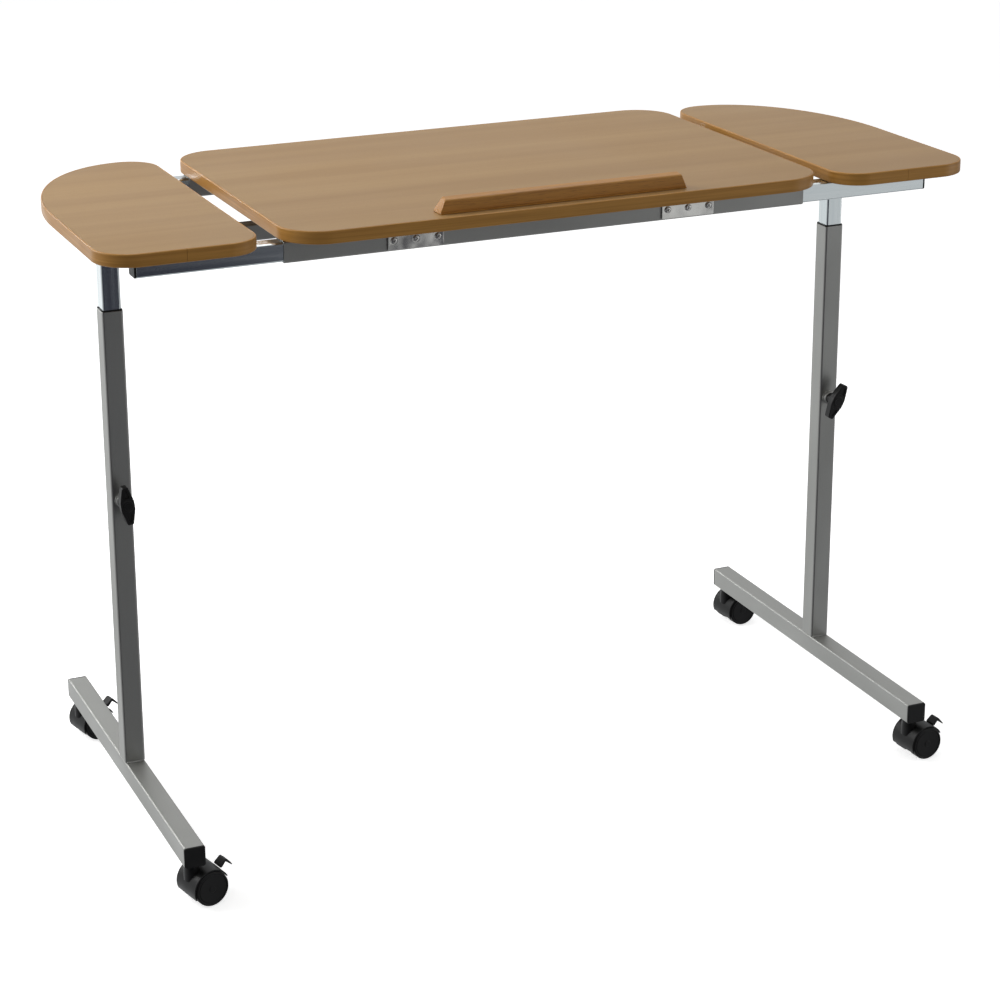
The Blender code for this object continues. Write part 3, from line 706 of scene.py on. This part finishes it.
def build_hinge(side):
    """Butt hinge: stamped leaves, rolled knuckles, a pin with eased ends, and pan-head screws."""
    low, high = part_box(side + "_hinge_frame_leaf")
    x = (low.x + high.x) / 2
    length = high.x - low.x
    axis_z = high.z - BARREL
    axis_y = low.y + BARREL
    face_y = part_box("front_rail")[0].y - GAP
    bottom = low.z
    leaf_top = axis_z - BARREL - 0.0004
    knuckle = length / 3
    outline = [(-length / 2, bottom), (length / 2, bottom), (length / 2, axis_z), (knuckle / 2 + GAP, axis_z),
               (knuckle / 2 + GAP, leaf_top), (-knuckle / 2 - GAP, leaf_top), (-knuckle / 2 - GAP, axis_z),
               (-length / 2, axis_z)]
    plate = slab(rounded_path(outline, 0.0016, 6), 0, LEAF, 0.00025, 3)
    moved(plate, turn=TO_USER)
    screw_z = (bottom + leaf_top) / 2 + 0.0002
    screw_x = [-length * 0.395, 0.0, length * 0.395]
    holes = []
    for sx in screw_x:
        sink = [(0.0026, -0.001), (0.0026, LEAF - 0.0012), (0.0049, LEAF + 0.0001), (0.0052, LEAF + 0.001)]
        hole = lathe(sink, 32)
        holes.append(moved(hole, (sx, 0, screw_z), TO_USER))
    plate = boolean(plate, holes, "DIFFERENCE")
    moved(plate, (x, face_y, 0))
    rolls = []
    for k in (-1, 1):
        rolls.append(knuckle_mesh(knuckle, (x + k * knuckle, axis_y, axis_z)))
    pin = rod([(x - length / 2 - 0.0002, axis_y, axis_z), (x + length / 2 + 0.0002, axis_y, axis_z)], PIN, 16)
    piece(side + "_hinge_front_leaf", joined(plate, *rolls, pin), STEEL, "centre_frame",
          replaces=side + "_hinge_frame_leaf")
    screws(side + "_hinge_front_screws", [(x + sx, face_y - LEAF + 0.0006, screw_z) for sx in screw_x],
           TO_USER, "centre_frame")

    low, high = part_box(side + "_hinge_tray_leaf")
    top = high.z
    edge_y = axis_y + 0.0028
    outline = [(-length / 2, edge_y), (-knuckle / 2 + GAP, edge_y), (-knuckle / 2 + GAP, axis_y),
               (knuckle / 2 - GAP, axis_y), (knuckle / 2 - GAP, edge_y), (length / 2, edge_y),
               (length / 2, high.y), (-length / 2, high.y)]
    plate = moved(slab(rounded_path(outline, 0.0016, 6), top - LEAF, top, 0.00025, 3), (x, 0, 0))
    roll = knuckle_mesh(knuckle - 2 * GAP, (x, axis_y, axis_z))
    piece(side + "_hinge_under_leaf", joined(plate, roll), STEEL, "tray", replaces=side + "_hinge_tray_leaf")


def knuckle_mesh(length, place):
    half, rim = length / 2 - 0.0001, 0.0003
    profile = [(BARREL * 0.5, -half), (BARREL - rim, -half), (BARREL, -half + rim), (BARREL, half - rim),
               (BARREL - rim, half), (BARREL * 0.5, half)]
    return moved(lathe(profile, 32), place, ALONG_X)


# ---- tilt support
def build_tilt_support():
    low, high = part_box("tilt_bail")
    z = (low.z + high.z) / 2
    pivot_y = low.y + BAIL_RADIUS
    foot_y = high.y - BAIL_RADIUS
    reach = foot_y - pivot_y
    leg_x, bend = BAIL_LEG_X, BAIL_BEND
    half = [(-(high.x - low.x) / 2 + 0.0003, 0)]
    half += arc((-leg_x - bend, bend), bend, 270, 360, 10)
    half += arc((-leg_x + bend, reach - bend), bend, 180, 90, 10)
    path = half + [(-px, py) for px, py in reversed(half)]
    piece("bail_rod", rod([(px, pivot_y + py, z) for px, py in path], BAIL_RADIUS, 24), STEEL, "bail",
          replaces="tilt_bail")
    for side in SIDES:
        node = side + "_bail_saddle"
        low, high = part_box(node)
        width = high.x - low.x
        inner = BAIL_RADIUS + 0.0004
        outer = inner + SADDLE_SHEET
        top = high.z - z
        flange = top - SADDLE_SHEET
        outline = [(-SADDLE_HALF, top), (-SADDLE_HALF, flange)]
        outline += [(-outer, flange)] + arc((0, 0), outer, 180, 360, 24)[1:-1] + [(outer, flange)]
        outline += [(SADDLE_HALF, flange), (SADDLE_HALF, top)]
        outline += [(inner, top)] + arc((0, 0), inner, 360, 180, 24) + [(-inner, top)]
        turn = SIDEWAYS
        place = ((low.x + high.x) / 2, pivot_y, z)
        bm = slab(outline, -width / 2, width / 2, 0.0002, 2)
        piece(node + "_fine", bm, STEEL, "tray", place, turn, node)
        heads = [(place[0], pivot_y + dy, z + flange) for dy in (-SADDLE_SCREW, SADDLE_SCREW)]
        screws(side + "_saddle_screws", heads, DOWNWARD, "tray", 0.72)


# ---- side frames
def cap(name, node, body, size, outward, place, turn):
    """Moulded cap: a flat face with a softened rim. Local +Z points out of the tube."""
    face = rounded_rectangle(size, size, TUBE_CORNER)
    shank = rounded_rectangle(size - 2 * (WALL + GAP), size - 2 * (WALL + GAP), TUBE_CORNER - WALL)
    layers = [(inset(shank, 0.0006), -CAP_SHANK), (shank, -CAP_SHANK + 0.001), (shank, GAP), (face, GAP),
              (face, outward - CAP_RIM)]
    for angle in quarter_turn(4, 1):
        sink = CAP_RIM * (1 - math.sin(angle))
        layers.append((inset(face, CAP_RIM * (1 - math.cos(angle))), outward - sink))
    layers.append((inset(face, CAP_FLAT), outward))
    bm = bmesh.new()
    loft(bm, flat_rings(layers))
    piece(name, bm, BLACK, body, place, turn, node)


def build_side_frame(side, sign):
    body = side + "_frame"
    for row in ("front", "rear"):
        node = f"{side}_{row}_slide_rail"
        build_tube(node, body, ZINC, "zinc_plate", 0, INNER_TUBE)
        cap_node = f"{side}_{row}_slide_cap"
        low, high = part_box(node)
        end = high.x if sign > 0 else low.x
        cap(cap_node + "_fine", cap_node, body, INNER_TUBE, CAP_FLANGE, (end, (low.y + high.y) / 2, RAIL_Z),
            Euler((0, sign * math.pi / 2, 0)))
        heads = []
        for x in FLAP_SCREWS_X:
            heads.append((sign * x, (low.y + high.y) / 2, low.z))
        screws(f"{side}_{row}_flap_screws", heads, DOWNWARD, body)
    build_tube(side + "_cross_member", body, ZINC, "zinc_plate", 1, INNER_TUBE)
    build_tube(side + "_inner_mast", body, ZINC, "zinc_plate", 2, INNER_TUBE)
    low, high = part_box(side + "_cross_member")
    beads = []
    for y, way in ((low.y, 1), (high.y, -1)):
        for x in (low.x, high.x):
            ends = (low.z + 0.003, high.z - 0.003)
            beads.append(weld_bead([(x, y + way * WELD_SINK, z) for z in ends]))
        ends = (low.x + 0.003, high.x - 0.003)
        beads.append(weld_bead([(x, y + way * WELD_SINK, low.z) for x in ends]))
    mast_low, mast_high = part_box(side + "_inner_mast")
    for y in (mast_low.y, mast_high.y):
        beads.append(weld_bead([(mast_low.x + 0.002, y, mast_high.z), (mast_high.x - 0.002, y, mast_high.z)]))
    piece(side + "_frame_welds", joined(*beads), ZINC, body)


# ---- masts and feet
def build_base(side):
    body = side + "_base"
    build_tube(side + "_mast_tube", body, PAINT, "silver_paint", 2, TUBE)
    build_tube(side + "_foot_tube", body, PAINT, "silver_paint", 1, TUBE)
    mast_low, mast_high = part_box(side + "_mast_tube")
    x = (mast_low.x + mast_high.x) / 2
    face_y = mast_high.y - TUBE
    knob_z = middle(side + "_height_knob").z
    boss(side + "_mast_boss", body, (x, face_y, knob_z), TO_USER)

    low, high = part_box(side + "_mast_collar")
    bore = INNER_TUBE + 2 * GAP
    rim = TUBE - 0.0004
    layers = []
    for size, corner, z in ((rim - 0.0006, 0.0022, low.z), (rim, TUBE_CORNER, low.z + 0.0003),
                            (rim, TUBE_CORNER, high.z - 0.0004),
                            (rim - 0.0003, TUBE_CORNER - 0.0001, high.z - 0.0001),
                            (rim - 0.0008, TUBE_CORNER - 0.0004, high.z), (bore + 0.0004, 0.0021, high.z),
                            (bore, 0.0019, high.z - 0.0003), (bore, 0.0019, low.z)):
        layers.append((rounded_rectangle(size, size, corner), z))
    bm = bmesh.new()
    loft(bm, flat_rings(layers), back_to_start=True)
    piece(side + "_mast_collar_fine", bm, BLACK, body, (x, MAST_Y, 0), replaces=side + "_mast_collar")

    foot_low, foot_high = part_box(side + "_foot_tube")
    middle_z = (foot_low.z + foot_high.z) / 2
    for row, y, turn in (("front", foot_low.y, math.pi / 2), ("rear", foot_high.y, -math.pi / 2)):
        node = f"{side}_{row}_foot_cap"
        cap(node + "_fine", node, body, TUBE, CAP_FLANGE, (x, y, middle_z), Euler((turn, 0, 0)))
    beads = []
    for y, way in ((mast_high.y - TUBE, -1), (mast_high.y, 1)):
        z = foot_high.z + WELD_SINK
        ends = (x - 0.0105, x + 0.0105)
        beads.append(weld_bead([(end, y + way * WELD_SINK, z) for end in ends], 0.0015))
    piece(side + "_foot_welds", joined(*beads), PAINT, body)


def build_knob(name, body, place, turn):
    """Wing knob: blunt lozenge wings with a raised rim, a round hub in front and a collar behind."""
    reach, tip, wide, shoulder = 0.0235, 0.0036, 0.0084, 0.005
    back, face = BOSS_LENGTH + 0.0085, BOSS_LENGTH + 0.020
    quarter = [(reach, tip), (shoulder, wide)]
    half = quarter + [(-px, py) for px, py in reversed(quarter)]
    outline = rounded_path(half + [(-px, -py) for px, py in half], 0.0022, 6)
    wings = slab(outline, back, face - 0.0006, 0.0013, 5)
    pockets = []
    for way in (-1, 1):
        shape = [(0.0095, -0.0042), (0.0205, -0.0017), (0.0205, 0.0017), (0.0095, 0.0042)]
        shape = rounded_path([(way * px, way * py) for px, py in shape], 0.0012, 4)
        pocket = bmesh.new()
        loft(pocket, flat_rings([(inset(shape, 0.0006), face - 0.0018), (shape, face + 0.001)]))
        pockets.append(pocket)
    wings = boolean(wings, pockets, "DIFFERENCE")
    hub = [(0.0034, BOSS_LENGTH + GAP), (0.0066, BOSS_LENGTH + GAP), (0.0070, BOSS_LENGTH + GAP + 0.0004)]
    hub += [(0.0072, back + 0.002), (0.0075, face - 0.0014)]
    hub += [(0.0075 - 0.0014 * (1 - math.cos(t)), face - 0.0014 * (1 - math.sin(t)))
            for t in quarter_turn(4, 1)]
    hub += [(0.0046, face), (0.0042, face - 0.0004), (0.0012, face - 0.0004)]
    body_mesh = boolean(wings, [lathe(hub, 40)], "UNION")
    piece(name + "_fine", body_mesh, BLACK, body, place, turn, name, sharp=30)
    stud = [(0.0012, -WALL), (0.0029, -WALL)]
    z = -WALL + 0.0003
    while z < BOSS_LENGTH:
        stud += [(0.0030, z), (0.0026, z + 0.0004)]
        z += 0.0008
    stud += [(0.0028, BOSS_LENGTH + 0.001), (0.0012, BOSS_LENGTH + 0.001)]
    piece(name + "_stud", lathe(stud, 24), SCREW_STEEL, body, place, turn)


def build_knobs(side):
    mast_low, mast_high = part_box(side + "_mast_tube")
    node = side + "_height_knob"
    place = ((mast_low.x + mast_high.x) / 2, mast_high.y - TUBE, middle(node).z)
    build_knob(node, node, place, Euler((math.pi / 2, -KNOB_LEANS[side], 0)))
    node = side + "_width_knob"
    place = (middle(node).x, middle(node).y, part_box("front_rail")[0].z)
    build_knob(node, node, place, DOWNWARD)


# ---- castors
def hood_mesh(neck_top):
    """Hood in the castor's own axes: swivel at the origin, wheels trailing towards +X."""
    outer_r, inner_r = HOOD_OUTSIDE, HOOD_INSIDE
    half = CASTOR_WIDTH / 2 - 0.001
    lead, trail = 202, 28
    rings = []
    rim = 0.0007
    section = [(inner_r, -half + 0.0003), (inner_r + 0.0003, -half)]
    section += [(outer_r - rim + rim * math.sin(t), -half + rim - rim * math.cos(t))
                for t in quarter_turn(4)]
    section += [(outer_r + 0.0002 * math.cos(math.pi / 2 * s), half * s) for s in (-0.6, -0.3, 0.0, 0.3, 0.6)]
    section += [(outer_r - rim + rim * math.cos(t), half - rim + rim * math.sin(t))
                for t in quarter_turn(4)]
    section += [(inner_r + 0.0003, half), (inner_r, half - 0.0003)]
    for k in range(61):
        angle = math.radians(trail + (lead - trail) * k / 60)
        rings.append([(r * math.cos(angle), r * math.sin(angle), z) for r, z in section])
    shell = bmesh.new()
    loft(shell, rings)
    across = TO_USER
    axle = (CASTOR_TRAIL, 0, WHEEL_RADIUS)
    moved(shell, axle, across)
    web = arc((0, 0), inner_r + 0.0006, 60, 175, 30) + arc((0, 0), 0.0075, 215, 380, 20)
    web = moved(slab(web, -WEB_HALF, WEB_HALF, 0.0004, 2), axle, across)
    neck = [(0.0060, 0.0300), (0.0092, 0.0300), (0.0092, 0.0400), (0.0090, 0.0430),
            (0.0086, neck_top - 0.0005), (0.0082, neck_top), (0.0048, neck_top)]
    hood = boolean(shell, [web, lathe(neck, 48)], "UNION")
    bores = [moved(lathe([(0.0033, -0.03), (0.0033, 0.03)], 32), axle, across)]
    bores.append(lathe([(0.0043, 0.0362), (0.0043, neck_top + 0.002)], 32))
    for way in (-1, 1):
        room = lathe([(inner_r, WEB_HALF), (inner_r, 0.03)], 96)
        bores.append(moved(room, axle, Euler((way * math.pi / 2, 0, 0))))
    return boolean(hood, bores, "DIFFERENCE")


def wheels_mesh():
    """Pair of wheels on one axle: rounded treads, a rim line, a dished face and a small hub cap."""
    side, inner = CASTOR_WIDTH / 2, 0.0088
    r = WHEEL_RADIUS
    profile = [(0.0010, -side + 0.0004), (0.0036, -side + 0.0003), (0.0042, -side + 0.0007),
               (0.0048, -side + 0.0008), (0.0120, -side + 0.0005), (0.0168, -side + 0.0002),
               (0.0176, -side + 0.0007), (0.0182, -side + 0.0002), (0.0190, -side)]
    profile += [(r - 0.0020 + 0.0020 * math.sin(t), -side + 0.0020 - 0.0020 * math.cos(t))
                for t in quarter_turn(5)]
    profile += [(r - 0.0012 + 0.0012 * math.cos(t), -inner - 0.0012 + 0.0012 * math.sin(t))
                for t in quarter_turn(4)]
    profile += [(0.0075, -inner), (0.0070, -inner - 0.0006), (0.0030, -inner - 0.0006)]
    profile += [(radius, -z) for radius, z in reversed(profile)]
    return lathe(profile, 72)


def pedal_mesh():
    """Brake pedal: a folded tab with three ribs to step on."""
    x, y = 0.0207, 0.0162
    apex = (x + 0.0058, y + 0.0063)
    tip = (x + 0.0148, y - 0.0017)
    outline = arc((x, y), 0.0022, 135, 315, 10)
    outline += [(apex[0] + 0.0002, apex[1] - 0.0024), (tip[0] - 0.0010, tip[1] - 0.0009), tip,
                (apex[0] + 0.0012, apex[1] + 0.0008), (apex[0] - 0.0008, apex[1] + 0.0008)]
    tab = slab(outline, -PEDAL_HALF, PEDAL_HALF, 0.0005, 3)
    ribs = []
    for share in (0.30, 0.52, 0.74):
        px = apex[0] + 0.0012 + (tip[0] - apex[0] - 0.0012) * share
        py = apex[1] + 0.0008 + (tip[1] - apex[1] - 0.0008) * share
        ribs.append(rod([(px, py - 0.0001, -0.0056), (px, py - 0.0001, 0.0056)], 0.00045, 10))
    return joined(tab, *ribs)


def build_castors():
    stem_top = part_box("left_front_castor_stem")[1].z
    flange = stem_top - 0.018 - GAP - 0.0025
    neck_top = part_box("left_front_castor_hood")[1].z
    masters = {}
    for part, bm in (("hood", hood_mesh(neck_top)), ("wheels", wheels_mesh()), ("brake", pedal_mesh())):
        masters[part] = bpy.data.meshes.new(part + "_master")
        bm.to_mesh(masters[part])
        bm.free()
    for side in SIDES:
        for row in ("front", "rear"):
            name = f"{side}_{row}_castor"
            stem = middle(name + "_stem")
            centre = Vector((stem.x, stem.y, 0))
            spin = Euler((0, 0, HEADINGS[side]))
            axle = centre + spin.to_matrix() @ Vector((CASTOR_TRAIL, 0, WHEEL_RADIUS))
            across = (spin.to_matrix() @ TO_USER.to_matrix()).to_euler()
            for part, mat, place, turn in (("hood", NYLON, centre, spin), ("wheels", TREAD, axle, across),
                                           ("brake", NYLON, axle, across)):
                bm = bmesh.new()
                bm.from_mesh(masters[part])
                node = f"{name}_{part}"
                piece(node + "_fine", bm, mat, node, place, turn, node, sharp=32)
            profile = [(0.0030, 0.0366), (0.0037, 0.0366), (0.0040, 0.0370), (0.0040, flange + 0.0003),
                       (0.0080, flange + 0.0003), (0.0085, flange + 0.0007), (0.0085, 0.0514),
                       (0.0082, 0.0517), (0.0040, 0.0517), (0.0040, stem_top - 0.0004), (0.0036, stem_top)]
            piece(name + "_stem_fine", lathe(profile, 40), SCREW_STEEL, side + "_base", centre,
                  replaces=name + "_stem")


# ---- room
FLOOR_HALF = 14.0
FLOOR_DROP = 0.0002  # the floor's distance below the wheels
FLOOR_GLOW = 0.70
ROOM_LIGHT = 0.30  # brightness of the room for diffuse rays
CEILING_START, CEILING_FULL = 0.35, 0.80  # heights on the unit sphere
# What bright metal mirrors: compass angle in degrees and brightness, white panels between dark gaps.
STUDIO_RING = [(-180, 1.00), (-164, 1.22), (-147, 0.86), (-110, 0.85), (-70, 0.40), (-35, 0.06), (20, 0.035),
               (27, 0.66), (42, 0.70), (62, 0.30), (105, 0.36), (140, 0.62), (165, 0.74), (180, 1.00)]
# Camera: angles in degrees, lens in millimetres, and where it stands along its own axes, in metres.
AZIMUTH, ELEVATION, ROLL = 22.042, 17.578, -0.732
LENS = 92.122
SHIFT = (0.078, -0.115)
CAMERA_LEFT, CAMERA_UP, CAMERA_BACK = 0.086991, 0.463179, 3.294791
AIM_Y = 0.006  # the camera's aim behind the masts


def build_room():
    bm = bmesh.new()
    edges = [[(-FLOOR_HALF, y, 0), (FLOOR_HALF, y, 0)] for y in (-FLOOR_HALF, FLOOR_HALF)]
    loft(bm, edges, around=False, caps=False)
    mesh = bpy.data.meshes.new("floor")
    bm.to_mesh(mesh)
    bm.free()
    look = Look("floor_pale", 0.85)
    speckle = look.noise(look.scaled(1.5, 1.5, 1.5), 2.0)
    look.shader.inputs["Emission Color"].default_value = (1, 1, 1, 1)
    look.shader.inputs["Emission Strength"].default_value = FLOOR_GLOW
    pale = look.ramp(speckle, [(0.3, (0.86, 0.86, 0.86)), (0.7, (0.88, 0.88, 0.88))])
    mesh.materials.append(look.done(pale))
    floor = bpy.data.objects.new("floor", mesh)
    bpy.context.scene.collection.objects.link(floor)
    floor.location = (0, 0, -FLOOR_DROP)
    floor.visible_glossy = False
    floor.visible_diffuse = False

    world = bpy.data.worlds.new("studio")
    bpy.context.scene.world = world
    world.use_nodes = True
    tree = world.node_tree
    tree.nodes.clear()
    new = tree.nodes.new
    link = tree.links.new

    def background(colour, strength):
        node = new("ShaderNodeBackground")
        if isinstance(colour, bpy.types.NodeSocket):
            link(colour, node.inputs["Color"])
        else:
            node.inputs["Color"].default_value = (*colour, 1.0)
        node.inputs["Strength"].default_value = strength
        return node.outputs[0]

    direction = new("ShaderNodeTexCoord").outputs["Generated"]
    axes = new("ShaderNodeSeparateXYZ")
    link(direction, axes.inputs[0])
    turned = new("ShaderNodeMath")
    turned.operation = "ARCTAN2"
    forward = new("ShaderNodeMath")
    forward.operation = "MULTIPLY"
    forward.inputs[1].default_value = -1.0
    link(axes.outputs["Y"], forward.inputs[0])
    link(axes.outputs["X"], turned.inputs[0])
    link(forward.outputs[0], turned.inputs[1])
    share = new("ShaderNodeMapRange")
    share.inputs["From Min"].default_value = -math.pi
    share.inputs["From Max"].default_value = math.pi
    link(turned.outputs[0], share.inputs["Value"])
    around = new("ShaderNodeValToRGB")
    brightest = max(level for angle, level in STUDIO_RING)
    elements = around.color_ramp.elements
    while len(elements) < len(STUDIO_RING):
        elements.new(0.5)
    for element, (angle, level) in zip(elements, STUDIO_RING):
        element.position = (angle + 180) / 360
        grey = level / brightest
        element.color = (grey * 0.985, grey, grey + 0.012, 1.0)
    link(share.outputs[0], around.inputs["Fac"])
    above = new("ShaderNodeMapRange")
    above.interpolation_type = "SMOOTHSTEP"
    above.inputs["From Min"].default_value = CEILING_START
    above.inputs["From Max"].default_value = CEILING_FULL
    link(axes.outputs["Z"], above.inputs["Value"])
    studio = new("ShaderNodeMix")
    studio.data_type = "RGBA"
    studio.inputs["B"].default_value = (1 / brightest, 1 / brightest, 1 / brightest, 1.0)
    link(above.outputs[0], studio.inputs["Factor"])
    link(around.outputs["Color"], studio.inputs["A"])

    rays = new("ShaderNodeLightPath")
    soft = new("ShaderNodeMixShader")
    link(rays.outputs["Is Glossy Ray"], soft.inputs[0])
    link(background((1.0, 1.0, 1.0), ROOM_LIGHT), soft.inputs[1])
    link(background(studio.outputs["Result"], brightest), soft.inputs[2])
    seen = new("ShaderNodeMixShader")
    link(rays.outputs["Is Camera Ray"], seen.inputs[0])
    link(soft.outputs[0], seen.inputs[1])
    link(background((1.0, 1.0, 1.0), 1.0), seen.inputs[2])
    output = new("ShaderNodeOutputWorld")
    link(seen.outputs[0], output.inputs["Surface"])


def softbox(name, place, target, width, height, power):
    light = bpy.data.lights.new(name, "AREA")
    light.shape = "RECTANGLE"
    light.size = width
    light.size_y = height
    light.energy = power
    obj = bpy.data.objects.new(name, light)
    bpy.context.scene.collection.objects.link(obj)
    obj.location = place
    obj.rotation_euler = (Vector(target) - Vector(place)).to_track_quat("-Z", "Y").to_euler()


def build_lights():
    centre = (0, 0, 0.5)
    softbox("key_left", (-2.2, 1.1, 1.85), centre, 1.6, 1.6, 42)
    softbox("fill_right", (2.6, -1.2, 0.60), centre, 1.2, 1.2, 6)
    softbox("overhead", (0.2, 0.5, 3.0), centre, 2.4, 2.4, 24)
    softbox("rim_back", (-1.3, 3.4, 1.5), centre, 0.5, 0.5, 10)


def build_camera():
    """Seen from the left front, a little above the boards."""
    azimuth, elevation, roll = math.radians(AZIMUTH), math.radians(ELEVATION), math.radians(ROLL)
    forward = Vector((math.sin(azimuth) * math.cos(elevation), math.cos(azimuth) * math.cos(elevation),
                      -math.sin(elevation)))
    level = Vector((math.cos(azimuth), -math.sin(azimuth), 0))
    above = level.cross(forward)
    right = level * math.cos(roll) + above * math.sin(roll)
    up = above * math.cos(roll) - level * math.sin(roll)
    camera = bpy.data.cameras.new("camera")
    camera.lens = LENS
    camera.sensor_width = 36.0
    camera.shift_x, camera.shift_y = SHIFT
    camera.dof.use_dof = False
    obj = bpy.data.objects.new("camera", camera)
    bpy.context.scene.collection.objects.link(obj)
    turn = Matrix((right, up, -forward)).transposed().to_4x4()
    place = -(right * CAMERA_LEFT - up * CAMERA_UP + forward * CAMERA_BACK) + Vector((0, MAST_Y + AIM_Y, 0))
    obj.matrix_world = Matrix.Translation(place) @ turn
    bpy.context.scene.camera = obj


build_room()
build_lights()
build_camera()
build_boards()
build_ledge()
build_centre_frame()
build_tilt_support()
for side_name, side_sign in SIDES.items():
    build_side_frame(side_name, side_sign)
    build_base(side_name)
    build_knobs(side_name)
build_castors()
bpy.context.scene.view_settings.view_transform = "Standard"
